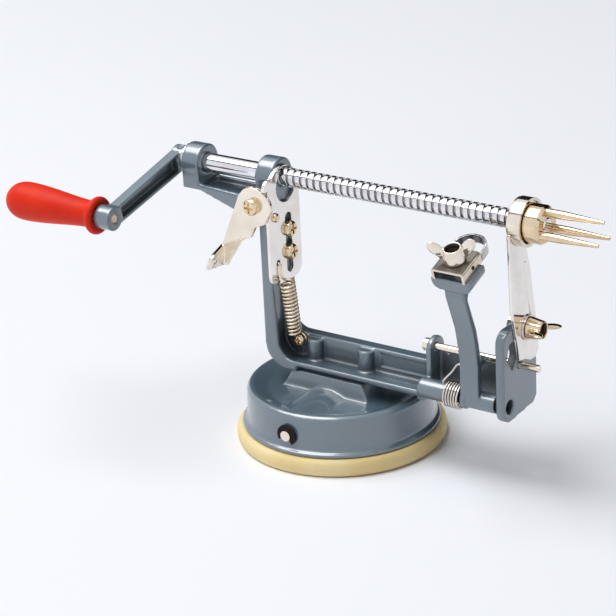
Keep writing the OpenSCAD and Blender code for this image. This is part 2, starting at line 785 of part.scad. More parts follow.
// Half outline of the grip, from its collar past the neck to the round end
function grip_radius(t) = grip_d/2*(0.69 + 0.31*pow(sin(90*t), 1.6));
module grip() {
  neck = 5;
  dome = 11;
  belly = grip_l - neck - dome;
  dome_r = grip_d/2 - 0.02;
  bore = grip_pin_r + run_gap;
  color("firebrick")
    at_crank()
      translate([grip_x, crank_l, 0])
        rotate([0, -90, 0])
          difference() {
            rotate_extrude()
              polygon(concat(
                [[0, 0], [grip_d/2 - 0.4, 0]],
                arc(grip_d/2 - 0.8, 1.6, 1.4, -60, 70, 6),
                [for (i = [0 : 14]) [grip_radius(i/14), neck + belly*i/14]],
                [for (a = [15 : 15 : 75]) [dome_r*cos(a), grip_l - dome + dome*sin(a)]],
                [[0, grip_l]]
              ));
            translate([0, 0, -1]) cylinder(r = bore, h = grip_l - grip_tail);
            translate([0, 0, grip_l - grip_tail - 2.4 - slide_gap])
              cylinder(r = grip_pin_r + 1.2 + run_gap, h = 2.4 + 2*slide_gap);
          }
}

// The lever's cam grows from its base radius as the lever turns the half nut up
function cam_edge() = [
  for (i = [0 : 12])
    let (a = cam_from + (cam_to - cam_from)*i/12, r = lever_cam_r + cam_rise*(cam_to - a)/(cam_to - cam_from))
    [r*cos(a), r*sin(a)]
];
module release_lever() {
  tab_x = -20.9;
  tab_z = [-33.6, -23.4];
  tab_tip_r = 3.6;
  tab_tip_y = lever_y - 11.6;
  tab_tip_z = tab_z[0] + 6.4;
  color(nickel)
    translate([lever_x, 0, lever_z])
      difference() {
        union() {
          side(lever_y, lever_y + lever_t) {
            circle(lever_cam_r);
            polygon(concat(
              cam_edge(),
              [[-9.1, 2.4], [tab_x + 1, tab_z[1]], [tab_x + 0.6, tab_z[0]], [-17.6, -33.8], [-16.2, -31.4],
               [-8.9, -20.4], [-6.4, -18.2], [-2.1, -16.6], [0.6, -10.9], [1.8, -10.4], [6.2, -8.6]]
            ));
          }
          across(tab_x, tab_x + lever_t) {
            polygon([[lever_y + lever_t, tab_z[0]], [lever_y + lever_t, tab_z[1]], [lever_y, tab_z[1]],
                     [tab_tip_y, tab_tip_z + tab_tip_r], [tab_tip_y, tab_tip_z - tab_tip_r],
                     [lever_y, tab_z[0]]]);
            translate([tab_tip_y, tab_tip_z]) circle(tab_tip_r);
          }
        }
        along_y(lever_y - 1, lever_y + lever_t + 1, lever_pin_r + run_gap, 0, 0);
      }
}

module lever_screw() {
  color(nickel)
    translate([lever_x, lever_y - slide_gap, lever_z])
      rotate([90, 0, 0]) headed_screw(4.2, 3.6, lever_pin_r, lever_t + 2*slide_gap, lever_hole_r, 9);
}

module halfnut_plate() {
  slot_r = 2.5 + slide_gap;
  hole_r = 7.8;
  hole_z = spindle_z - 4.6;
  top_z = spindle_z - 6.5;
  tooth_z = spindle_z + root_r + 0.2;
  low_r = 6;
  color(chrome) {
    across(nut_x, nut_x + nut_t)
      difference() {
        union() {
          translate([nut_y, top_z]) circle(nut_top_r);
          translate([nut_y - nut_w/2, nut_low + low_r]) square([nut_w, top_z - nut_low - low_r]);
          translate([nut_y - nut_w/2 + low_r, nut_low]) square([nut_w - 2*low_r, low_r + 1]);
          for (s = [-1, 1])
            translate([nut_y + s*(nut_w/2 - low_r), nut_low + low_r]) circle(low_r);
          translate([lever_y - 0.3, ear_z]) square([nut_y - lever_y, 5.4]);
        }
        translate([-0.5, hole_z]) circle(hole_r);
        translate([-crest_r - 1, hole_z]) square([2*crest_r + 2, spindle_z + crest_r + 0.5 - hole_z]);
        translate([guide_y - slot_r, slot_z[1]]) square([2*slot_r, slot_z[0] - slot_z[1]]);
        for (z = slot_z)
          translate([guide_y, z]) circle(slot_r);
        translate([hook_y, hook_z]) circle(1.4);
      }
    across(tooth_x - 0.4, tooth_x + 0.4)
      translate([-1.2, tooth_z]) square([2.4, spindle_z + crest_r + 1 - tooth_z]);
  }
}

module guide_screws() {
  color(nickel)
    for (z = guide_z)
      translate([nut_x + nut_t + slide_gap, guide_y, z])
        rotate([0, 90, 0]) headed_screw(4, 2.2, 2.5, nut_t + 2*slide_gap, screw_r, 5);
}

module halfnut_spring() color("tan") tube(nut_spring_path, nut_wire_d/2, [0, 1, 0]);

module spring_screw() {
  shoulder_l = spring_boss_y - loop_y + nut_wire_d;
  color(nickel)
    translate([spring_x, spring_boss_y - shoulder_l, spring_z])
      rotate([90, 0, 0]) headed_screw(3, 2.2, 1.7, shoulder_l, spring_hole_r, 3.6);
}

module stop_rod() {
  rod_head = 2.9;
  rod_out = 11;
  color("silver") {
    along_x(bar_end - rod_head, plate_x + rod_out, rod_d/2, rod_y, rod_z);
    along_x(bar_end - rod_head, bar_end - slide_gap, rod_d/2 + 1.4, rod_y, rod_z);
  }
}

module arm_pivot_pin() {
  color("silver") along_x(bar_end + ear_t + 0.4, plate_x - plate_t*0.7, pivot_d/2, pivot_y, pivot_z);
}

module torsion_spring() color("silver") tube(twist_path, twist_wire_d/2, [1, 0, 0]);

// The head's frame: its table is level with local Z = 0, and local Y points at the apple
module at_head() translate([arm_x, head_y, head_z]) rotate([head_tilt, 0, 0]) children();
module peel_arm() {
  lean = head_y - arm_front;
  rise = head_z - pivot_z;
  bends = [[0, 0], [0, 0.284], [0.243, 0.443], [0.5, 0.559], [1.486, 0.819]];
  sweep = [for (b = bends) [arm_front + b.x*lean, pivot_z + b.y*rise]];
  color(paint)
    difference() {
      union() {
        along_x(arm_hub_x, arm_hub_x + arm_hub_l, arm_hub_r, pivot_y, pivot_z);
        along_x(arm_hub_x, arm_hub_x + 2.4, arm_hub_r + 0.9, pivot_y, pivot_z);
        across(arm_x - arm_w/2, arm_x + arm_w/2)
          polygon(concat(
            sweep,
            [[head_y - 4.6, head_z - 6.6], [head_y + 4.6, head_z - 3.4]],
            [for (i = [len(sweep) - 1 : -1 : 0]) sweep[i] + [arm_t, i < 2 ? 0 : -1]]
          ));
        across(arm_x - 3, arm_x + 3)
          translate([arm_front + 1, rod_z - 2]) square([rod_y - rod_d/2 - slide_gap - arm_front - 1, 4]);
        at_head()
          side(-7.7, head_l - 7.7)
            difference() {
              translate([-head_w/2, -head_h]) square([head_w, head_h]);
              for (s = [-1, 1])
                translate([s*head_w/2, -head_h])
                  difference() {
                    translate([-4, -1]) square([8, 5]);
                    translate([-s*4, 4]) circle(4);
                  }
            }
      }
      along_x(arm_hub_x - 1, arm_hub_x + arm_hub_l + 1, pivot_d/2 + run_gap, pivot_y, pivot_z);
      at_head() translate([0, 0, stud_low - slide_gap]) cylinder(r = stud_d/2 + fit_gap, h = head_h + 10);
    }
}

module blade_holder() {
  color(nickel)
    at_head()
      difference() {
        side(-8.5, holder_back)
          difference() {
            translate([-holder_w/2, 0]) square([holder_w, holder_h]);
            translate([-holder_w/2 + holder_t, -1]) square([holder_w - 2*holder_t, holder_h - holder_t + 1]);
          }
        cylinder(r = stud_d/2 + run_gap, h = 20);
      }
}

// Horseshoe strip: its legs lie inside the holder, and its shoulders and bow stand out flush with the walls
module peeling_blade() {
  bow_r = holder_w/2;
  bow_y = blade_far - bow_r;
  leg_in = blade_leg - blade_t/2;
  leg_back = -5;
  leg_low = 0.2;
  leg_h = holder_h - holder_t - 2*leg_low;
  bow_h = blade_top - leg_low;
  shoulder_y = holder_back + 0.3;
  color(chrome)
    at_head()
      translate([0, 0, leg_low]) {
        linear_extrude(bow_h)
          intersection() {
            translate([0, bow_y])
              difference() {
                circle(bow_r);
                circle(bow_r - blade_t);
              }
            translate([-bow_r, bow_y]) square(2*bow_r);
          }
        for (s = [0, 1])
          mirror([s, 0, 0]) {
            translate([leg_in, leg_back, 0]) cube([blade_t, shoulder_y + blade_t - leg_back, leg_h]);
            translate([leg_in, shoulder_y, 0]) cube([bow_r - leg_in, blade_t, leg_h]);
            translate([bow_r - blade_t, shoulder_y, 0]) cube([blade_t, bow_y - shoulder_y, bow_h]);
          }
      }
}

module blade_stud() {
  color("silver")
    at_head()
      translate([0, 0, stud_low]) cylinder(r = stud_d/2, h = holder_h + nut_h/2 - stud_low);
}

module blade_wing_nut() {
  color("wheat")
    at_head()
      translate([0, 0, holder_h + slide_gap])
        rotate(22) wing_nut(nut_base_r, nut_cap_r, nut_h, stud_d/2 + run_gap, nut_span);
}

module slicer_blade() {
  ring_r = ring_d/2;
  color(chrome)
    difference() {
      union() {
        across(slicer_x, slicer_x + slicer_t)
          polygon([[-ring_r + 0.2, spindle_z - 4], [-ring_r + 2.3, bolt_z + 11], [bolt_y - 8.7, bolt_z - 8.3],
                   [bolt_y - 7.5, bolt_z - 14.4], [bolt_y - 2.6, bolt_z - 15.2], [bolt_y + 2.6, bolt_z - 17.6],
                   [bolt_y + 7.4, bolt_z - 17.6], [bolt_y + 10.2, bolt_z - 14.2], [bolt_y + 6.5, bolt_z + 8],
                   [bolt_y + 0.3, spindle_z - 15], [ring_r*0.62, spindle_z - ring_r*0.72]]);
        translate([slicer_x + slicer_t - 0.2, 8.6, bolt_z + 17])
          rotate([10.3, 0, 0]) translate([0, -0.7, -16]) cube([0.8, 1.4, 32]);
      }
      along_x(slicer_x - 1, slicer_x + slicer_t + 1, ring_r + fit_gap, 0, spindle_z);
      along_x(slicer_x - 1, slicer_x + slicer_t + 1, bolt_d/2 + run_gap, bolt_y, bolt_z);
    }
}

// Tube with a sharpened edge on the side that meets the apple
module coring_ring() {
  ring_r = ring_d/2;
  color(chrome)
    turned_x(slicer_x, 0, spindle_z)
      polygon([[ring_r - 0.3, 0], [ring_r, 1.2], [ring_r, ring_l], [ring_r - ring_t, ring_l],
               [ring_r - ring_t, 1.6]]);
}

module corer_bolt() {
  color("silver") {
    along_x(plate_x - plate_t - 2.6, plate_x - plate_t, bolt_d/2 + 2.2, bolt_y, bolt_z);
    along_x(plate_x - plate_t - 0.1, corer_nut_x + nut_h/2, bolt_d/2, bolt_y, bolt_z);
  }
}

module corer_washer() {
  color("silver")
    difference() {
      along_x(corer_nut_x - washer_t - slide_gap/2, corer_nut_x - slide_gap/2, washer_r, bolt_y, bolt_z);
      along_x(corer_nut_x - 3, corer_nut_x + 1, bolt_d/2 + run_gap, bolt_y, bolt_z);
    }
}

module corer_wing_nut() {
  color("wheat")
    translate([corer_nut_x, bolt_y, bolt_z])
      rotate([0, 90, 0])
        rotate(84) wing_nut(nut_base_r, nut_cap_r, nut_h, bolt_d/2 + run_gap, nut_span);
}

tine_at = [90, 210, 330];
tine_seat = hub_l*0.41;
tine_ring = 6.2;
module fork_hub() {
  color(nickel)
    difference() {
      turned_x(hub_x, 0, spindle_z)
        polygon([[0, 0], [fork_d/2 - 1, 0], [fork_d/2, 1], [fork_d/2, hub_l - 1.6], [fork_d/2 - 1.2, hub_l],
                 [0, hub_l]]);
      along_x(hub_x - 1, hub_x + hub_l + 1, root_r + fit_gap, 0, spindle_z);
      for (a = tine_at)
        along_x(hub_x + hub_l - tine_seat - fit_gap, hub_x + hub_l + 1, tine_d/2 + fit_gap, tine_ring*cos(a),
                spindle_z + tine_ring*sin(a));
    }
}

module fork_tines() {
  color("silver")
    for (a = tine_at)
      translate([hub_x + hub_l - tine_seat, tine_ring*cos(a), spindle_z + tine_ring*sin(a)])
        rotate([0, 90, 0]) {
          cylinder(d = tine_d, h = tine_seat + tine_l*0.3);
          translate([0, 0, tine_seat + tine_l*0.3]) cylinder(d1 = tine_d, d2 = tine_d*0.42, h = tine_l*0.7);
        }
}

suction_pad();
pad_stud();
base_housing();
cam_shaft();
suction_cam();
shaft_clip();
suction_lever();
lever_pin();
frame();
frame_screws();
spindle();
crank_washer();
crank_arm();
crank_pin();
grip_pin();
grip();
release_lever();
lever_screw();
halfnut_plate();
guide_screws();
halfnut_spring();
spring_screw();
stop_rod();
arm_pivot_pin();
torsion_spring();
peel_arm();
blade_holder();
peeling_blade();
blade_stud();
blade_wing_nut();
slicer_blade();
coring_ring();
corer_bolt();
corer_washer();
corer_wing_nut();
fork_hub();
fork_tines();
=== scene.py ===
import json
import math

import bmesh
import bpy
from mathutils import Matrix, Vector
from mathutils.bvhtree import BVHTree
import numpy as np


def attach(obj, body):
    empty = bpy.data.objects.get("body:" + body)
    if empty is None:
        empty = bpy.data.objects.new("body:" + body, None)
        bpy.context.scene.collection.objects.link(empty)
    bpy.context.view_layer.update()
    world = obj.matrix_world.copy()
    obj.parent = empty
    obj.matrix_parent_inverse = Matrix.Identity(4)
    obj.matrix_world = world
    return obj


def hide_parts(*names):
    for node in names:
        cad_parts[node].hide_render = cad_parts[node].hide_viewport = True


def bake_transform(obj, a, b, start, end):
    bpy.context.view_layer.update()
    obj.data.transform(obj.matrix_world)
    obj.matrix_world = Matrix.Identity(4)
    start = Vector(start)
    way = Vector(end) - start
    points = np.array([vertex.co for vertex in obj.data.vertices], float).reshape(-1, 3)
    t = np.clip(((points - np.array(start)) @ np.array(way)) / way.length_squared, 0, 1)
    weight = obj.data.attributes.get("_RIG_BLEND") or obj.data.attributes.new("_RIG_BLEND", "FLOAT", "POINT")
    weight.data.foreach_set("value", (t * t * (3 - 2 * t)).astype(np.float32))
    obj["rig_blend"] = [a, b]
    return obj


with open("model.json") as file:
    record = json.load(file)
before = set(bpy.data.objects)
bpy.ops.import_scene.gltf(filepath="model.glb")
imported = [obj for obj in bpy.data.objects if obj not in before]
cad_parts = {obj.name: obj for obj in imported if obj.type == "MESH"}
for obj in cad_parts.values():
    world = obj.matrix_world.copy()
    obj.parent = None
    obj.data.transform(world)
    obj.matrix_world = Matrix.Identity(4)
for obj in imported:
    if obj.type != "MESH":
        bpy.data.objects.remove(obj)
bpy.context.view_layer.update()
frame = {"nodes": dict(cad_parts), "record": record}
nodes = frame["nodes"]
mm = 0.001
fullTurn = 2 * math.pi
joinGap, fineGap = 1e-6, 1e-7  # metres within which vertices are one
bodyOf = {node: body for body, members in frame["record"]["behaviour"]["bodies"].items() for node in members}
slotOf = {part["node"]: part["material_slot"] for part in frame["record"]["subparts"]}
scene = bpy.context.scene
print("frame loaded:", len(nodes), "nodes")


class Field:  # a shader value that takes Python maths
    def __init__(self, look, socket):
        self.look = look
        self.socket = socket

    def math(self, operation, first, second):
        return self.look.node("ShaderNodeMath", {"operation": operation}, {0: first, 1: second})

    def __add__(self, other):
        return self.math("ADD", self, other)

    def __radd__(self, other):
        return self.math("ADD", other, self)

    def __sub__(self, other):
        return self.math("SUBTRACT", self, other)

    def __rsub__(self, other):
        return self.math("SUBTRACT", other, self)

    def __mul__(self, other):
        return self.math("MULTIPLY", self, other)

    def __rmul__(self, other):
        return self.math("MULTIPLY", other, self)

    def over(self, low, high):  # 0 below low, 1 above high, smooth between
        return self.look.node("ShaderNodeMapRange", {"interpolation_type": "SMOOTHSTEP"},
                              {"Value": self, "From Min": low, "From Max": high}, "Result")


class Look:  # the nodes of one material, or of the world
    def __init__(self, owner, shader, constants):
        owner.use_nodes = True
        self.owner = owner
        self.tree = owner.node_tree
        self.shader = self.tree.nodes[shader]
        for socketName, value in constants.items():
            self.shader.inputs[socketName].default_value = value

    def node(self, kind, settings, values, output=0):
        made = self.tree.nodes.new(kind)
        for setting, value in settings.items():
            setattr(made, setting, value)
        for socket, value in values.items():
            if isinstance(value, Field):
                self.tree.links.new(value.socket, made.inputs[socket])
            else:
                made.inputs[socket].default_value = value
        return Field(self, made.outputs[output])

    def noise(self, size, detail=3.0, roughness=0.55, stretch=None):  # size in metres
        place = self.node("ShaderNodeTexCoord", {}, {}, "Object")
        if stretch:
            place = self.node("ShaderNodeMapping", {}, {"Vector": place, "Scale": stretch})
        return self.node("ShaderNodeTexNoise", {},
                         {"Vector": place, "Scale": 1 / size, "Detail": detail, "Roughness": roughness})

    def mix(self, factor, first, second):
        return self.node("ShaderNodeMix", {"data_type": "RGBA"}, {"Factor": factor, 6: first, 7: second}, 2)

    def attribute(self, name):
        return self.node("ShaderNodeAttribute", {"attribute_name": name}, {}, "Fac")

    def feed(self, fields):
        for socketName, field in fields.items():
            self.tree.links.new(field.socket, self.shader.inputs[socketName])

    def relief(self, height, depth):  # depth in metres for a height of 1
        bump = self.node("ShaderNodeBump", {}, {"Height": height, "Distance": depth, "Strength": 1.0}, "Normal")
        self.feed({"Normal": bump})


def newLook(name, constants):
    return Look(bpy.data.materials.new(name), "Principled BSDF", constants)


def rgb(*levels):  # display colour, 0 to 255, to linear
    linear = [((c / 255 + 0.055) / 1.055) ** 2.4 if c > 10 else c / 255 / 12.92 for c in levels]
    return (*linear, 1.0)


# casting paint: drift in colour, orange peel, an uneven casting below, worn edges and painted shade in hollows; sizes
# in metres
slate = {"body": rgb(91, 110, 122), "deep": rgb(84, 103, 116), "thin": rgb(148, 158, 166), "hollowShadeTone": rgb(22, 38, 46),
         "drift": 0.05, "peel": 0.0016, "cast": 0.011, "chips": 0.007, "relief": 0.00007,
         "wornSpan": (0.35, 0.75), "shadeSpan": (0.22, 0.75), "thinned": 0.45, "hollowShading": 0.9,
         "roughness": 0.26, "coat": 0.9}
driftSpan = (0.3, 0.7)  # the part of a noise in which one tone turns into the other


def slatePaint():
    look = newLook("slatePaint", {"IOR": 2.0, "Coat Roughness": 0.05, "Coat IOR": 1.5})
    drift = look.noise(slate["drift"], 2.0)
    peel = look.noise(slate["peel"], 2.0)
    cast = look.noise(slate["cast"], 2.0)
    worn = (look.attribute("edgeWear") * look.noise(slate["chips"], 3.0)).over(*slate["wornSpan"])
    # painted shade: deep hollows are darkened and lose gloss
    hollowShade = look.attribute("hollowShade").over(*slate["shadeSpan"])
    colour = look.mix(drift.over(*driftSpan), slate["deep"], slate["body"])
    colour = look.mix(worn * slate["thinned"], colour, slate["thin"])
    look.feed({"Base Color": look.mix(hollowShade * slate["hollowShading"], colour, slate["hollowShadeTone"]),
               "Roughness": slate["roughness"] + 0.1 * peel + 0.2 * hollowShade,
               "Coat Weight": (slate["coat"] - 0.4 * worn) * (1 - 0.8 * hollowShade)})
    look.relief(peel * 0.25 + cast, slate["relief"])
    return look.owner


# plated and drawn metal, with smears, drawing lines and painted shade where a piece marks it
metal = {"smear": 0.013, "smearSpan": (0.35, 0.75), "fine": 0.0013, "drawn": 0.0016, "paintedShade": rgb(62, 54, 52)}


def plated(name, colour, shade, roughness, lines=0.0, stretch=(1, 1, 1)):
    look = newLook(name, {"Metallic": 1.0})
    smear = look.noise(metal["smear"], 3.0)
    fine = look.noise(metal["fine"], 2.0)
    drawn = look.noise(metal["drawn"], 2.0, 0.6, stretch)
    shadeMask = look.attribute("shadeMask")
    plate = look.mix(smear.over(*metal["smearSpan"]), colour, shade)
    # painted shade: the marked parts are darkened towards a brown tone
    look.feed({"Base Color": look.mix(shadeMask, plate, metal["paintedShade"]),
               "Roughness": roughness * 0.7 + smear * (roughness * 0.6) + drawn * lines + shadeMask * 0.2})
    look.relief(drawn * 0.5 + fine * 0.5, 0.00001 + 0.00002 * lines)
    return look.owner


rubber = {"light": rgb(247, 226, 172), "deep": rgb(239, 213, 152), "dusted": rgb(190, 168, 122),
          "drift": 0.03, "grain": 0.0012, "dust": 0.005, "dustSpan": (0.6, 0.85), "roughness": 0.5, "relief": 0.0001}


def creamRubber():
    look = newLook("creamRubber", {"Specular IOR Level": 0.35})
    drift = look.noise(rubber["drift"], 3.0)
    grain = look.noise(rubber["grain"], 3.0)
    dust = look.noise(rubber["dust"], 4.0)
    colour = look.mix(drift.over(*driftSpan), rubber["light"], rubber["deep"])
    look.feed({"Base Color": look.mix(dust.over(*rubber["dustSpan"]) * 0.3, colour, rubber["dusted"]),
               "Roughness": rubber["roughness"] + 0.2 * grain})
    look.relief(grain * 0.7 + dust * 0.3, rubber["relief"])
    return look.owner


red = {"light": rgb(230, 52, 24), "deep": rgb(219, 43, 22), "drift": 0.02, "scuff": 0.003, "lengthwise": (0.3, 1, 1),
       "roughness": 0.42, "coat": 0.06, "relief": 0.00006}


def redPlastic():
    look = newLook("redPlastic", {"Specular IOR Level": 0.14, "Coat Roughness": 0.25})
    drift = look.noise(red["drift"], 2.0)
    scuff = look.noise(red["scuff"], 4.0, 0.6, red["lengthwise"])
    look.feed({"Base Color": look.mix(drift.over(*driftSpan), red["light"], red["deep"]),
               "Roughness": red["roughness"] + 0.14 * scuff,
               "Coat Weight": red["coat"] - 0.05 * scuff})
    look.relief(drift * 0.6 + scuff * 0.4, red["relief"])
    return look.owner


oxide = {"black": rgb(9, 9, 10), "rubbed": rgb(52, 48, 46), "grain": 0.001, "roughness": 0.3, "relief": 0.00003}


def blackOxide():
    look = newLook("blackOxide", {"Specular IOR Level": 0.08})
    grain = look.noise(oxide["grain"], 3.0)
    rubbed = look.attribute("edgeWear") * grain
    look.feed({"Base Color": look.mix(rubbed, oxide["black"], oxide["rubbed"]),
               "Roughness": oxide["roughness"] + 0.25 * grain})
    look.relief(grain, oxide["relief"])
    return look.owner


finishes = {  # metal: colour, its darker shade, roughness, strength and stretch of the drawing lines
    "paint": slatePaint(),
    "chrome": plated("chrome", rgb(236, 234, 236), rgb(222, 219, 222), 0.06),
    "nickel": plated("nickel", rgb(240, 231, 216), rgb(226, 213, 194), 0.12, 0.03),
    "paleNickel": plated("paleNickel", rgb(240, 235, 230), rgb(229, 221, 214), 0.09, 0.03, (1, 1, 0.1)),
    "gilt": plated("giltNickel", rgb(232, 211, 178), rgb(208, 180, 142), 0.09, 0.03),
    "darkSteel": plated("darkSteel", rgb(58, 50, 44), rgb(36, 30, 28), 0.3, 0.05),
    "steel": plated("steel", rgb(226, 220, 212), rgb(206, 198, 190), 0.14, 0.05, (0.12, 1, 1)),
    "spring_wire": plated("springWire", rgb(240, 228, 208), rgb(216, 198, 172), 0.12, 0.03),
    "brass": plated("copperyBrass", rgb(222, 194, 166), rgb(200, 166, 136), 0.24, 0.05),
    "rubber": creamRubber(),
    "red_plastic": redPlastic(),
    "black_oxide": blackOxide(),
}
ownFinish = {  # where it isn't the one of the node's slot
    "fork_hub": "gilt", "fork_tines": "gilt", "guide_screws": "gilt", "lever_screw": "gilt", "spring_screw": "gilt",
    "corer_wing_nut": "gilt", "torsion_spring": "steel", "coring_ring": "nickel", "crank_pin": "paint",
    # the pivot pin is dark steel as painted shade deep in its hole
    "cam_shaft": "nickel", "arm_pivot_pin": "darkSteel", "slicer_blade": "paleNickel",
    "halfnut_plate": "paleNickel", "stop_rod": "nickel",
}
finishOf = {node: finishes[ownFinish.get(node, slot)] for node, slot in slotOf.items()}
print("finishes made:", len(finishes))


def meshObject(bm, name, material):
    mesh = bpy.data.meshes.new(name)
    bm.to_mesh(mesh)
    bm.free()
    made = bpy.data.objects.new(name, mesh)
    scene.collection.objects.link(made)
    mesh.materials.append(material)
    return made


def finishPiece(bm, name, node, replaced=True, blended=None, finish=None):
    piece = meshObject(bm, name, finish or finishOf[node])
    if blended:
        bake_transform(piece, *blended)
    else:
        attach(piece, bodyOf[node])
    if replaced:
        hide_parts(node)
    return piece


def smoothOver(bm, degrees=40):
    for face in bm.faces:
        face.smooth = True
    for edge in bm.edges:
        if len(edge.link_faces) == 2:
            edge.smooth = edge.calc_face_angle() < math.radians(degrees)


def cadCopy(node):  # the node's solid with its triangles joined into whole faces
    bm = bmesh.new()
    bm.from_mesh(nodes[node].data)
    bmesh.ops.remove_doubles(bm, verts=bm.verts, dist=joinGap)
    bmesh.ops.dissolve_limit(bm, angle_limit=math.radians(0.6), verts=bm.verts, edges=bm.edges)
    return bm


def bevelEdges(bm, edges, width, segments):
    return bmesh.ops.bevel(bm, geom=edges, offset=width, offset_type="OFFSET", affect="EDGES", segments=segments,
                           profile=0.5, material=-1, clamp_overlap=True)["faces"]


def evaluatedMesh(source):
    return bpy.data.meshes.new_from_object(source.evaluated_get(bpy.context.evaluated_depsgraph_get()))


def addMelt(piece, voxel, rounds, smooth):  # modifiers that run all edges and corners soft
    melt = piece.modifiers.new("melt", "REMESH")
    melt.mode = "VOXEL"
    melt.voxel_size = voxel
    melt.use_smooth_shade = smooth
    ease = piece.modifiers.new("ease", "SMOOTH")
    ease.factor = 0.5
    ease.iterations = rounds


def melted(bm, voxel, rounds, turn):  # turn is the place whose axes the voxels follow
    bmesh.ops.transform(bm, matrix=turn.inverted(), verts=bm.verts)
    mesh = bpy.data.meshes.new("rough")
    bm.to_mesh(mesh)
    rough = bpy.data.objects.new("rough", mesh)
    scene.collection.objects.link(rough)
    addMelt(rough, voxel, rounds, smooth=False)
    soft = evaluatedMesh(rough)
    bpy.data.objects.remove(rough)
    bm.clear()
    bm.from_mesh(soft)
    bmesh.ops.transform(bm, matrix=turn, verts=bm.verts)
    bmesh.ops.recalc_face_normals(bm, faces=bm.faces)
    bm.normal_update()


def openBores(bm, bores):  # keeps round holes at their size: axis, its place in mm, radius in mm
    for axis, first, second, radius in bores:
        a, b = (1, 2) if axis == "X" else (0, 2)
        centre = (first * mm, second * mm)
        for vert in bm.verts:
            off = (vert.co[a] - centre[0], vert.co[b] - centre[1])
            distance = math.hypot(*off)
            if 0.5 * radius * mm < distance < radius * mm:
                vert.co[a] = centre[0] + off[0] * radius * mm / distance
                vert.co[b] = centre[1] + off[1] * radius * mm / distance


surface = {"reach": 0.03, "rays": 9, "wearGain": 9, "shadeGain": 1.6, "lift": 0.00005}  # lengths in metres


def markWearAndShade(bm, voxel):  # worn edges, and how deep each vertex lies in hollows, 0 to 1, the depth giving painted shade
    tree = BVHTree.FromBMesh(bm)
    wear = bm.verts.layers.float.new("edgeWear")
    hollowShade = bm.verts.layers.float.new("hollowShade")
    count, reach = surface["rays"], surface["reach"]
    golden = math.pi * (3 - math.sqrt(5))
    rays = []
    for number in range(count):
        up = math.sqrt((number + 0.5) / count)
        flat = math.sqrt(1 - up * up)
        rays.append(Vector((flat * math.cos(golden * number), flat * math.sin(golden * number), up)))
    for vert in bm.verts:
        near = [edge.other_vert(vert).co for edge in vert.link_edges]
        swell = (vert.co - sum(near, Vector()) / len(near)).dot(vert.normal) / voxel
        vert[wear] = min(max(swell * surface["wearGain"], 0), 1)
        turn = vert.normal.to_track_quat("Z", "Y")
        start = vert.co + vert.normal * surface["lift"]
        met = 0.0
        for ray in rays:
            distance = tree.ray_cast(start, turn @ ray, reach)[3]
            met += 0.0 if distance is None else 1 - distance / reach
        vert[hollowShade] = met / count * surface["shadeGain"]


def along(bm, line):  # joins points (along X, radius) into a wire above the X axis
    made = [bm.verts.new((x * mm, 0, r * mm)) for x, r in line]
    edges = [bm.edges.new(pair) for pair in zip(made, made[1:])]
    return made + edges


def turned(bm, line, steps=64):  # solid of revolution about the X axis, ends on the axis
    start = along(bm, line)
    bmesh.ops.spin(bm, geom=start, cent=(0, 0, 0), axis=(1, 0, 0), dvec=(0, 0, 0), angle=fullTurn, steps=steps,
                   use_merge=True)
    bmesh.ops.remove_doubles(bm, verts=bm.verts, dist=fineGap)


def threaded(bm, line, turns, steps=36, solid=True):  # one pitch of outline wound about the X axis
    pitch = (line[-1][0] - line[0][0]) * mm
    start = along(bm, line)
    bmesh.ops.spin(bm, geom=start, cent=(0, 0, 0), axis=(1, 0, 0), dvec=(pitch / steps, 0, 0),
                   angle=fullTurn * turns, steps=turns * steps)
    bmesh.ops.remove_doubles(bm, verts=bm.verts, dist=joinGap)
    if solid:
        bmesh.ops.edgeloop_fill(bm, edges=[e for e in bm.edges if len(e.link_faces) == 1])


def placed(bm, matrix):
    bmesh.ops.transform(bm, matrix=matrix, verts=bm.verts)
    bmesh.ops.recalc_face_normals(bm, faces=bm.faces)


def at(x, y, z):
    return Matrix.Translation(Vector((x, y, z)) * mm)


def tilt(degrees, axis):
    return Matrix.Rotation(math.radians(degrees), 4, axis)


def wire(points, radius, name, node, blended):  # bent round wire through points in mm
    curve = bpy.data.curves.new(name, "CURVE")
    curve.dimensions = "3D"
    curve.bevel_depth = radius * mm
    curve.bevel_resolution = 3
    curve.use_fill_caps = True
    curve.resolution_u = 3
    spline = curve.splines.new("NURBS")
    spline.points.add(len(points) - 1)
    for point, place in zip(spline.points, points):
        point.co = [c * mm for c in place] + [1.0]
    spline.order_u = 4
    spline.use_endpoint_u = True
    bent = bpy.data.objects.new(name + "Path", curve)
    scene.collection.objects.link(bent)
    bm = bmesh.new()
    bm.from_mesh(evaluatedMesh(bent))
    bmesh.ops.remove_doubles(bm, verts=bm.verts, dist=fineGap)
    bmesh.ops.recalc_face_normals(bm, faces=bm.faces)
    smoothOver(bm, degrees=50)
    bpy.data.objects.remove(bent)
    finishPiece(bm, name, node, blended=blended)


# small solids, their edges rounded and marked for wear; radius in mm
softEdges = {
    "peeling_blade": 0.18, "coring_ring": 0.25, "fork_hub": 0.35, "suction_lever": 0.6, "lever_screw": 0.2,
    "guide_screws": 0.2, "spring_screw": 0.2, "shaft_clip": 0.15, "cam_shaft": 0.3, "stop_rod": 0.4,
    "corer_washer": 0.2, "crank_washer": 0.2, "grip_pin": 0.4, "suction_pad": 0.3, "fork_tines": 0.3,
    "pad_stud": 0.3, "suction_cam": 0.2, "lever_pin": 0.2, "frame_screws": 0.15, "crank_pin": 0.2,
    "arm_pivot_pin": 0.3,
}
rounding = {"sharper": 32, "facets": 2, "room": 2.05}  # degrees, and how many radii wide a face must be
armHead = {"place": (82.6, -22, 109.5), "tilt": 20}
head = at(*armHead["place"]) @ tilt(armHead["tilt"], "X")
bow = {"centre": (0, 12.4, 2.5), "facing": 0.3, "inside": 0.85, "outside": 0.35}  # painted shade on the blade's bow
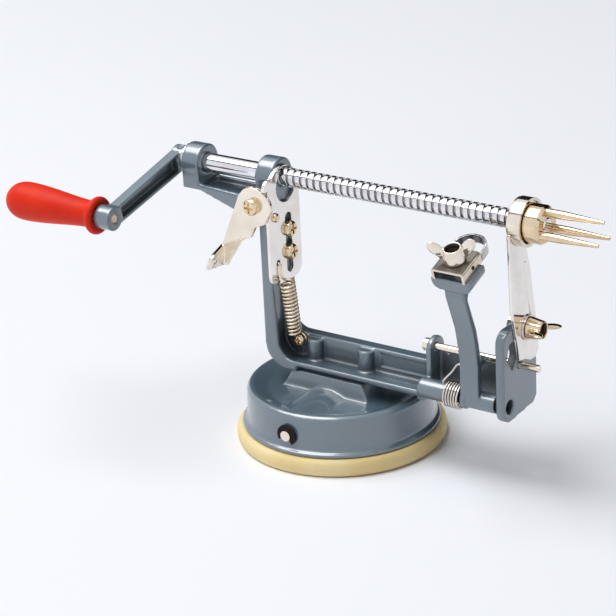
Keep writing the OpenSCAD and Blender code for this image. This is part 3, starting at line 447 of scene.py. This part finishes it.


def roundEdges(bm, width):
    wear = bm.verts.layers.float.get("edgeWear") or bm.verts.layers.float.new("edgeWear")
    sharp = [e for e in bm.edges if len(e.link_faces) == 2
             and e.calc_face_angle() > math.radians(rounding["sharper"])
             and min(f.calc_area() for f in e.link_faces) > rounding["room"] * width * e.calc_length()]
    for face in bevelEdges(bm, sharp, width, rounding["facets"]):
        for vert in face.verts:
            vert[wear] = 1.0
    bmesh.ops.dissolve_degenerate(bm, dist=fineGap, edges=bm.edges)
    return len(sharp)


def shadeBow(bm):  # painted shade: the inside of the bow is darkened much, the outside a little
    shadeMask = bm.verts.layers.float.new("shadeMask")
    centre = head @ (Vector(bow["centre"]) * mm)
    for vert in bm.verts:
        facesIn = vert.normal.dot((centre - vert.co).normalized()) > bow["facing"]
        vert[shadeMask] = bow["inside"] if facesIn else bow["outside"]


for node, width in softEdges.items():
    bm = cadCopy(node)
    count = roundEdges(bm, width * mm)
    if node == "peeling_blade":
        shadeBow(bm)
    smoothOver(bm)
    eased = finishPiece(bm, node + "_soft", node)
    eased.modifiers.new("facing", "WEIGHTED_NORMAL").keep_sharp = True  # broad faces stay even beside their rounding
    print("softened", node, count, "edges")


# castings and sheet, melted soft; long edges with a larger radius first: point and direction, reach, radius in mm
bends = {
    "halfnut_plate": [((0, -18.1, 132.47), (1, 0, 0), 0.3, 4.2)],
    "release_lever": [((-55.2, -15.8, 90.7), (0, 0, 1), 0.9, 2.4), ((-53.2, -17.8, 90.7), (0, 0, 1), 0.9, 0.8)],
    "blade_holder": [(head @ (Vector((side * 8.5, 0, 6)) * mm) / mm, head.col[1].xyz, 0.4, 1.5) for side in (-1, 1)],
}
bendFacets = 5


def bendEdges(bm, node):
    for point, direction, reach, radius in bends.get(node, []):
        spot, way = Vector(point) * mm, Vector(direction)
        chosen = []
        for edge in bm.edges:
            off = [(v.co - spot) - (v.co - spot).dot(way) * way for v in edge.verts]
            if max(o.length for o in off) < reach * mm and len(edge.link_faces) == 2:
                chosen.append(edge)
        bevelEdges(bm, chosen, radius * mm, bendFacets)


tab = {"foldY": -17.8, "top": 95.8, "slope": 0.5, "blend": 4.0, "drop": 0.2, "yaw": 0.3}


def leanTab(bm):  # the thumb tab's lower edge stands out
    for vert in bm.verts:
        past = tab["foldY"] * mm - vert.co.y
        out = min(max(past / (tab["blend"] * mm), 0), 1)
        down = out * (tab["top"] * mm - vert.co.z)
        vert.co.x += tab["yaw"] * max(past, 0) - tab["slope"] * down
        vert.co.z -= tab["drop"] * down


hump = {"x": 1.5, "half": 12.5, "front": -45.0, "rear": -9.0, "low": 26.0, "high": 3.0, "steps": 28,
        "fullness": 1.3, "sunk": 0.35, "root": 1.6}


def addHump(bm):  # low hump over the suction shaft, closed below
    made = bmesh.ops.create_grid(bm, x_segments=hump["steps"], y_segments=hump["steps"], size=1)["verts"]
    for vert in made:
        across, lengthwise = vert.co.x, (vert.co.y + 1) / 2
        bulge = hump["high"] * max(math.cos(across * math.pi / 2), 0) ** hump["fullness"]
        x = hump["x"] + across * hump["half"]
        front = -math.sqrt(hump["front"] ** 2 - x ** 2)
        y = front + (hump["rear"] - front) * lengthwise
        vert.co = Vector((x, y, hump["low"] - hump["sunk"] + bulge)) * mm
    sheet = list({face for vert in made for face in vert.link_faces})
    below = bmesh.ops.extrude_face_region(bm, geom=sheet)["geom"]
    for part in below:
        if isinstance(part, bmesh.types.BMVert):
            part.co.z = (hump["low"] - hump["root"]) * mm
    bmesh.ops.recalc_face_normals(bm, faces=bm.faces)


slicer = {"face": 103.85}


def flattenSlicer(bm):  # its bead is a piece of its own, made below
    for vert in bm.verts:
        vert.co.x = min(vert.co.x, slicer["face"] * mm)


field = {"x": (24.1, 52.1), "z": (40.5, 47.5), "web": 0.5, "deep": 0.8, "border": 1.2, "near": 1.2}
forward = -0.5  # Y of a normal, below which a face counts as facing the front


def sinkField(bm):  # sunk field in the bar's web
    for vert in bm.verts:
        x, y, z = vert.co / mm
        inside = min(x - field["x"][0], field["x"][1] - x, z - field["z"][0], field["z"][1] - z)
        if inside > -field["border"] and abs(y - field["web"]) < field["near"] and vert.normal.y < forward:
            vert.co.y = (field["web"] + (field["deep"] if inside > 0 else 0)) * mm
    bm.normal_update()


# x, y and z of the wall behind the rod and of the right plate's window, and how much painted shade each gets
pocket = {"space": ((57.2, 97.0), (2.0, 4.0), (36.0, 55.5)), "hollowShade": 0.62}
window = {"space": ((97.6, 101.7), (-12.4, -2.0), (57.0, 72.1)), "hollowShade": 0.8, "sideways": 0.7}


def within(vert, space):
    return all(low < value / mm < high for value, (low, high) in zip(vert.co, space))


# painted shade: the wall behind the rod and the sides of the window are darkened
def paintPocketShade(bm):
    hollowShade = bm.verts.layers.float["hollowShade"]
    for vert in bm.verts:
        if within(vert, pocket["space"]) and vert.normal.y < forward:
            vert[hollowShade] = max(vert[hollowShade], pocket["hollowShade"])
        elif within(vert, window["space"]) and abs(vert.normal.x) < window["sideways"]:
            vert[hollowShade] = window["hollowShade"]


holder = {"facing": 0.8, "top": 0.85, "sides": 0.1}  # painted shade on the blade's holder


def shadeHolderTop(bm):  # painted shade: the upward faces are darkened much, the sides a little
    shadeMask = bm.verts.layers.float.new("shadeMask")
    for vert in bm.verts:
        facesUp = vert.normal.dot(head.col[2].xyz) > holder["facing"]
        vert[shadeMask] = holder["top"] if facesUp else holder["sides"]


# voxel in mm, rounds of easing, bores that keep their size, and what is done before, after and last
castings = {
    "frame": {"voxel": 0.6, "rounds": 5, "bores": [("X", 0, 130, 4.83)], "after": sinkField, "last": paintPocketShade},
    "base_housing": {"voxel": 0.7, "rounds": 5, "bores": [("Y", 0, 18, 2.72)], "before": addHump},
    "crank_arm": {"voxel": 0.4, "rounds": 6},
    "peel_arm": {"voxel": 0.45, "rounds": 6, "bores": [("X", -10, 40.4, 3.52)]},
    "release_lever": {"voxel": 0.24, "rounds": 4, "before": leanTab},
    "halfnut_plate": {"voxel": 0.28, "rounds": 3},
    "slicer_blade": {"voxel": 0.2, "rounds": 10, "before": flattenSlicer},
    "blade_holder": {"voxel": 0.2, "rounds": 4, "turn": head, "last": shadeHolderTop},
}
for node, cast in castings.items():
    bm = cadCopy(node)
    bendEdges(bm, node)
    if "before" in cast:
        cast["before"](bm)
    melted(bm, cast["voxel"] * mm, cast["rounds"], cast.get("turn", Matrix()))
    openBores(bm, cast.get("bores", []))
    if "after" in cast:
        cast["after"](bm)
    # painted castings get worn edges and painted shade in their hollows
    if slotOf[node] == "paint":
        markWearAndShade(bm, cast["voxel"] * mm)
    if "last" in cast:
        cast["last"](bm)
    smoothOver(bm, degrees=70)
    print("cast", node, len(bm.verts), "vertices")
    finishPiece(bm, node + "_soft", node)


# spindle with its feed thread, whose groove is under the half-nut's tooth; mm
spindle = {"journal": 4.75, "crest": 4.7, "root": 3.8, "pitch": 3.9, "left": -92.9, "shoulder": -29.1,
           "groove": -31.7, "turns": 36, "end": 117.4, "tail": 6, "chamfer": 0.6, "edge": 0.4,
           "wall": (0.62, 0.76, 0.92), "ease": 0.14, "height": 130, "shadedSpan": (-29, 104), "film": 0.3, "paintedShade": 0.55}
root, crest, journal = spindle["root"], spindle["crest"], spindle["journal"]
left, shoulder, end = spindle["left"], spindle["shoulder"], spindle["end"]
chamfer, edge = spindle["chamfer"], spindle["edge"]
flank = list(zip(spindle["wall"], (root, crest - spindle["ease"], crest)))
outline = [(0, root)] + flank + [(spindle["pitch"] - x, r) for x, r in reversed(flank)] + [(spindle["pitch"], root)]
bm = bmesh.new()
threaded(bm, [(spindle["groove"] + x, r) for x, r in outline], spindle["turns"])
turned(bm, [(left, 0), (left, journal - chamfer), (left + chamfer, journal), (shoulder - edge, journal),
            (shoulder, journal - edge), (shoulder, 0)])
turned(bm, [(end - spindle["tail"], 0), (end - spindle["tail"], root), (end - chamfer, root), (end, root - chamfer),
            (end, 0)])
# painted shade in the thread's groove, along the threaded length
shadeMask = bm.verts.layers.float.new("shadeMask")
shadeFrom, shadeTo = spindle["shadedSpan"]
for vert in bm.verts:
    inGroove = math.hypot(vert.co.y, vert.co.z) < (root + spindle["film"]) * mm
    if shadeFrom * mm < vert.co.x < shadeTo * mm and inGroove:
        vert[shadeMask] = spindle["paintedShade"]
placed(bm, at(0, 0, spindle["height"]))
smoothOver(bm, degrees=30)
finishPiece(bm, "spindle_threaded", "spindle")
print("spindle wound")


# grip: collar, waist, belly and a round end; mm
grip = {"waist": 6.6, "belly": 9.6, "length": 57.4, "dome": 11, "swell": 1.5, "bellyFrom": 7.5, "stations": 8,
        "collar": [(0.8, 2.25), (0.8, 6.3), (0.1, 7.2), (0.0, 8.2), (0.6, 9.1), (1.8, 9.5), (3.0, 9.1), (3.9, 8.1),
                   (4.5, 7.0), (5.6, 6.6)], "place": (-95.8, -57.752, 116.985), "steps": 48}
line = grip["collar"][:]
bellyTo = grip["length"] - grip["dome"]
for station in range(grip["stations"] + 1):
    part = station / grip["stations"]
    line.append((grip["bellyFrom"] + (bellyTo - grip["bellyFrom"]) * part,
                 grip["waist"] + (grip["belly"] - grip["waist"]) * math.sin(math.pi / 2 * part) ** grip["swell"]))
for degrees in (18, 36, 54, 72):
    angle = math.radians(degrees)
    line.append((bellyTo + grip["dome"] * math.sin(angle), grip["belly"] * math.cos(angle)))
bm = bmesh.new()
turned(bm, line + [(grip["length"], 0)], grip["steps"])
bmesh.ops.holes_fill(bm, edges=[e for e in bm.edges if len(e.link_faces) == 1], sides=grip["steps"])
placed(bm, at(*grip["place"]) @ tilt(180, "Z"))
smoothOver(bm, degrees=60)
gripPiece = finishPiece(bm, "grip_turned", "grip")
fuller = gripPiece.modifiers.new("rounding", "SUBSURF")
fuller.levels = fuller.render_levels = 1
print("grip turned")


# springs: wire and coil are radii in mm, and fade is the height in metres over which a spring follows the moving body
perTurn = 24
halfNutSpring = {"wire": 0.65, "coil": 3.35, "turns": 14, "hook": 2.2, "hookAt": (-27.8, -9.4, 86.3), "tip": 1.3,
                 "shank": (2.5, 4.6), "top": (-22.25, -9.4, 79.3), "low": (-22.6, -5.1, 51.2), "loop": 2.6,
                 "loopAt": (-20.8, -1.6, 47.0), "fade": (0.051, 0.0795)}


def arc(centre, radius, angles):  # points of a bow in an upright plane along X
    x, y, z = centre
    return [(x + radius * math.cos(math.radians(a)), y, z + radius * math.sin(math.radians(a))) for a in angles]


coilTop, coilLow = Vector(halfNutSpring["top"]), Vector(halfNutSpring["low"])
axis = (coilLow - coilTop).normalized()
first = (Vector((-1, 0, 0)) - axis * axis.dot(Vector((-1, 0, 0)))).normalized()
second = axis.cross(first)
hookX, hookY, hookZ = halfNutSpring["hookAt"]
hook = halfNutSpring["hook"]
points = [(hookX - hook, hookY, hookZ - halfNutSpring["tip"])]
points += arc(halfNutSpring["hookAt"], hook, range(180, -1, -30))
points += [(hookX + hook, hookY, hookZ - drop) for drop in halfNutSpring["shank"]]
steps = halfNutSpring["turns"] * perTurn
for step in range(2, steps + 1):
    angle = fullTurn * step / perTurn
    points.append(tuple(coilTop + (coilLow - coilTop) * (step / steps)
                        + halfNutSpring["coil"] * (math.cos(angle) * first + math.sin(angle) * second)))
points += arc(halfNutSpring["loopAt"], halfNutSpring["loop"], range(180, 451, 30))
fadeFrom, fadeTo = halfNutSpring["fade"]
wire(points, halfNutSpring["wire"], "halfnut_spring_wound", "halfnut_spring",
     ("stand", "half_nut", (0, 0, fadeFrom), (0, 0, fadeTo)))

armSpring = {"wire": 0.5, "coil": 6.1, "turns": 6, "from": 76.6, "to": 68.0, "y": -10, "z": 40.4,
             "rear": (2.9, -1.0, -5.0), "fade": (0.0482, 0.0572),
             "leg": [(67.8, -13.2, 46.7), (68.5, -15.4, 47.9), (70.2, -14.8, 50.7), (73.4, -13.2, 53.9),
                     (74.9, -12.6, 57.5), (76.3, -12.6, 57.9), (77.4, -12.6, 57.9)]}
coil, coilFrom, coilTo = armSpring["coil"], armSpring["from"], armSpring["to"]
points = [(coilFrom, y, armSpring["z"] + coil) for y in armSpring["rear"]]
steps = armSpring["turns"] * perTurn
for step in range(steps + 1):
    angle = fullTurn * (0.25 + step / perTurn)
    points.append((coilFrom + (coilTo - coilFrom) * step / steps,
                   armSpring["y"] + coil * math.cos(angle), armSpring["z"] + coil * math.sin(angle)))
points += armSpring["leg"]
fadeFrom, fadeTo = armSpring["fade"]
wire(points, armSpring["wire"], "torsion_spring_wound", "torsion_spring",
     ("stand", "peeling_arm", (0, 0, fadeFrom), (0, 0, fadeTo)))
print("springs wound")


# wing nuts: a turned hub with two paddles, melted together as in a casting, and a dark thread inside; mm
wingNut = {"hub": [(0, 3.1), (0, 5.1), (0.4, 5.4), (7.1, 4.4), (7.6, 4.0), (7.6, 3.8), (7.1, 3.5), (5.0, 3.1),
                   (0, 3.1)],
           "thread": [(1.0, 2.62), (1.35, 2.97), (1.45, 2.97), (1.8, 2.62)], "turns": 6,
           "mouth": [(5.6, 2.62), (6.2, 2.82), (7.1, 3.44)], "lining": 0.15, "reach": 7.6, "rise": 7.4, "lean": 52,
           "paddle": (4.9, 1.25, 3.0), "stem": (5.0, 1.9, 3.6), "stemAt": (-2.6, 0, -0.4), "voxel": 0.22, "rounds": 8}


def wingNutPiece(name, node, place):
    bm = bmesh.new()
    turned(bm, wingNut["hub"], steps=48)
    bmesh.ops.transform(bm, matrix=tilt(-90, "Y"), verts=bm.verts)
    for side in (0, 180):
        paddle = bmesh.ops.create_uvsphere(bm, u_segments=24, v_segments=16, radius=mm)["verts"]
        bmesh.ops.scale(bm, vec=wingNut["paddle"], verts=paddle)
        stem = bmesh.ops.create_cube(bm, size=mm)["verts"]
        bmesh.ops.scale(bm, vec=wingNut["stem"], verts=stem)
        bmesh.ops.translate(bm, vec=Vector(wingNut["stemAt"]) * mm, verts=stem)
        spread = tilt(side, "Z") @ at(wingNut["reach"], 0, wingNut["rise"]) @ tilt(-wingNut["lean"], "Y")
        bmesh.ops.transform(bm, matrix=spread, verts=paddle + stem)
    placed(bm, place)
    piece = finishPiece(bm, name, node)
    addMelt(piece, wingNut["voxel"] * mm, wingNut["rounds"], smooth=True)
    bm = bmesh.new()
    threaded(bm, wingNut["thread"], wingNut["turns"], steps=32, solid=False)
    turned(bm, wingNut["mouth"], steps=48)
    bmesh.ops.transform(bm, matrix=place @ tilt(-90, "Y"), verts=bm.verts)
    lining = finishPiece(bm, name + "_thread", node, replaced=False, finish=finishes["darkSteel"])
    wall = lining.modifiers.new("body", "SOLIDIFY")
    wall.thickness = wingNut["lining"] * mm
    wall.offset = 0


nutPlaces = {"blade_wing_nut": head @ at(0, 0, 6.1) @ tilt(22, "Z"),
             "corer_wing_nut": at(104.95, 4.1, 76) @ tilt(90, "Y") @ tilt(84, "Z")}
for node, place in nutPlaces.items():
    wingNutPiece(node + "_cast", node, place)
print("wing nuts cast")


# rivets in the half-nut plate and in the holder's wall: place, radius and height in mm, finish
rivets = {"halfnut_plate": (at(-26.9, -10.4, 112.2), 2.3, 1.7, "gilt"),
          # the holder's small dark rivet paints the shade of a dimple
          "blade_holder": (head @ at(8.45, 0.46, 3.02), 1.0, 0.5, "darkSteel")}
rivetForm = [(0, 0), (0, 1), (0.5, 1), (0.85, 0.82), (1, 0.5), (1, 0)]  # shares of height and radius
for node, (place, radius, high, finish) in rivets.items():
    bm = bmesh.new()
    turned(bm, [(high * x, radius * r) for x, r in rivetForm], steps=32)
    placed(bm, place)
    smoothOver(bm, degrees=50)
    finishPiece(bm, node + "_rivet", node, replaced=False, finish=finishes[finish])

# bead pressed in the slicer; mm
bead = {"half": 15, "wide": 0.75, "proud": 0.6, "lean": 10.3, "place": (103.85, 4.7, 94)}
line = []
for side, angles in ((-1, (90, 60, 30, 0)), (1, (0, 30, 60, 90))):
    for angle in map(math.radians, angles):
        line.append((side * (bead["half"] + bead["wide"] * math.sin(angle)), bead["wide"] * math.cos(angle)))
bm = bmesh.new()
turned(bm, line, steps=24)
bmesh.ops.transform(bm, matrix=tilt(-90, "Y"), verts=bm.verts)
bmesh.ops.scale(bm, vec=(bead["proud"], 1, 1), verts=bm.verts)
placed(bm, at(*bead["place"]) @ tilt(bead["lean"], "X"))
smoothOver(bm, degrees=60)
finishPiece(bm, "slicer_bead", "slicer_blade", replaced=False)
print("rivets and bead made")


# fine threads that show in the wing nuts' mouths; mm
fineThread = {"pitch": 0.8, "depth": 0.4, "crest": 2.5, "land": (0.45, 0.55), "core": 0.02, "chamfer": 0.5}
pins = {
    "blade_stud": {"place": head @ at(0, 0, -5.5) @ tilt(-90, "Y"), "plain": 11, "length": 15.3,
                   "solids": [[(0, 0), (0, 2.2), (0.3, 2.5), (11.2, 2.5), (11.2, 0)]]},
    "corer_bolt": {"place": at(94.7, 4.1, 76), "plain": 10, "length": 14.0,
                   "solids": [[(0, 0), (0, 4.2), (0.5, 4.7), (2.5, 4.7), (2.6, 4.6), (2.6, 0)],
                              [(2.5, 0), (2.5, 2.5), (10.2, 2.5), (10.2, 0)]]},
}
for node, pin in pins.items():
    plain, length = pin["plain"], pin["length"]
    pitch, crest, chamfer = fineThread["pitch"], fineThread["crest"], fineThread["chamfer"]
    root = crest - fineThread["depth"]
    core = root + fineThread["core"]
    ridge = [(plain + pitch * share, crest) for share in fineThread["land"]]
    bm = bmesh.new()
    threaded(bm, [(plain, root)] + ridge + [(plain + pitch, root)], int((length - plain) / pitch) - 1, steps=24)
    for line in pin["solids"]:
        turned(bm, line, steps=40)
    turned(bm, [(plain, 0), (plain, core), (length - chamfer, core), (length, root - chamfer), (length, 0)], steps=40)
    placed(bm, pin["place"])
    smoothOver(bm, degrees=35)
    finishPiece(bm, node + "_threaded", node)
print("threads cut")


for node, solid in nodes.items():  # the solids have their finishes too
    solid.data.materials.clear()
    solid.data.materials.append(finishOf[node])


# floor and sky; lengths in metres
stage = {"floor": 6.0, "tones": (rgb(240, 242, 248), rgb(244, 246, 251)), "fade": (1.2, 4.5),
         "far": rgb(236, 239, 246), "sky": rgb(243, 246, 252), "fill": 0.14}
black = (0, 0, 0, 1)


def seenDirectly(look):  # 1 for what the camera sees, also in metal and glass
    camera, glossy, through = [look.node("ShaderNodeLightPath", {}, {}, ray)
                               for ray in ("Is Camera Ray", "Is Glossy Ray", "Is Transmission Ray")]
    return (camera + glossy + through).over(0.0, 1.0)


def stagePiece(bm, name, look):
    piece = meshObject(bm, name, look.owner)
    return piece


bm = bmesh.new()
bmesh.ops.create_grid(bm, x_segments=1, y_segments=1, size=stage["floor"])
floorLook = newLook("paleFloor", {"Roughness": 0.7, "Specular IOR Level": 0.2, "Emission Strength": 1.0})
spot = floorLook.node("ShaderNodeTexCoord", {}, {}, "Object")
distance = floorLook.node("ShaderNodeVectorMath", {"operation": "LENGTH"}, {0: spot}, "Value")
afar = distance.over(*stage["fade"]) * seenDirectly(floorLook)  # the floor fades into the sky
floorTone = floorLook.mix(floorLook.noise(0.4, 2.0), *stage["tones"])
floorLook.feed({"Base Color": floorLook.mix(afar, floorTone, black),
                "Emission Color": floorLook.mix(afar, black, stage["far"])})
stagePiece(bm, "floor", floorLook)

# dark cloths that only the metal and the paint reflect; spans in degrees from the rear horizon, over the top
flags = {"radius": 2.4, "reach": 3.5, "tones": (rgb(20, 20, 24), rgb(30, 30, 34)), "spans": ((3, 50), (124, 132))}
flagLook = newLook("darkCloth", {"Roughness": 0.9, "Specular IOR Level": 0.1})
flagLook.feed({"Base Color": flagLook.mix(flagLook.noise(0.2), *flags["tones"])})
for number, (low, high) in enumerate(flags["spans"]):
    bm = bmesh.new()
    hem = bm.edges.new([bm.verts.new((x, flags["radius"], 0)) for x in (-flags["reach"], flags["reach"])])
    bmesh.ops.rotate(bm, cent=(0, 0, 0), matrix=Matrix.Rotation(math.radians(low), 3, "X"), verts=bm.verts)
    bmesh.ops.spin(bm, geom=bm.verts[:] + [hem], cent=(0, 0, 0), axis=(1, 0, 0), dvec=(0, 0, 0),
                   angle=math.radians(high - low), steps=12)
    cloth = stagePiece(bm, "flag" + str(number), flagLook)
    cloth.visible_camera = False
    cloth.visible_shadow = False
    cloth.visible_diffuse = False

world = bpy.data.worlds.new("studio")
sky = Look(world, "Background", {"Color": stage["sky"]})
sky.feed({"Strength": seenDirectly(sky) * (1 - stage["fill"]) + stage["fill"]})
scene.world = world

softbox = {"place": (-1.1, -0.8, 3.2), "target": (0, 0, 0.08), "size": (3.4, 2.4), "power": 142}
light = bpy.data.lights.new("overheadBox", "AREA")
light.shape = "RECTANGLE"
light.size, light.size_y = softbox["size"]
light.energy = softbox["power"]
lamp = bpy.data.objects.new("overheadBox", light)
lamp.location = softbox["place"]
aim = Vector(softbox["target"]) - Vector(softbox["place"])
lamp.rotation_euler = aim.to_track_quat("-Z", "Y").to_euler()
scene.collection.objects.link(lamp)

# camera fitted to the photograph
view = {"place": (0.636288, -0.921789, 0.532231), "right": (0.81573, 0.57844, 0.0),
        "up": (-0.22175, 0.31272, 0.92360), "roll": 2.79, "lens": 145.97, "sensor": 36, "near": 0.01}
roll = math.radians(view["roll"])
right, up = Vector(view["right"]), Vector(view["up"])
rolledRight = right * math.cos(roll) - up * math.sin(roll)
rolledUp = right * math.sin(roll) + up * math.cos(roll)
camera = bpy.data.objects.new("camera", bpy.data.cameras.new("camera"))
camera.data.lens = view["lens"]
camera.data.sensor_width = view["sensor"]
camera.data.clip_start = view["near"]
camera.matrix_world = Matrix((rolledRight, rolledUp, rolledRight.cross(rolledUp))).transposed().to_4x4()
camera.matrix_world.translation = view["place"]
scene.collection.objects.link(camera)
scene.camera = camera
scene.view_settings.view_transform = "Standard"
print("stage set")
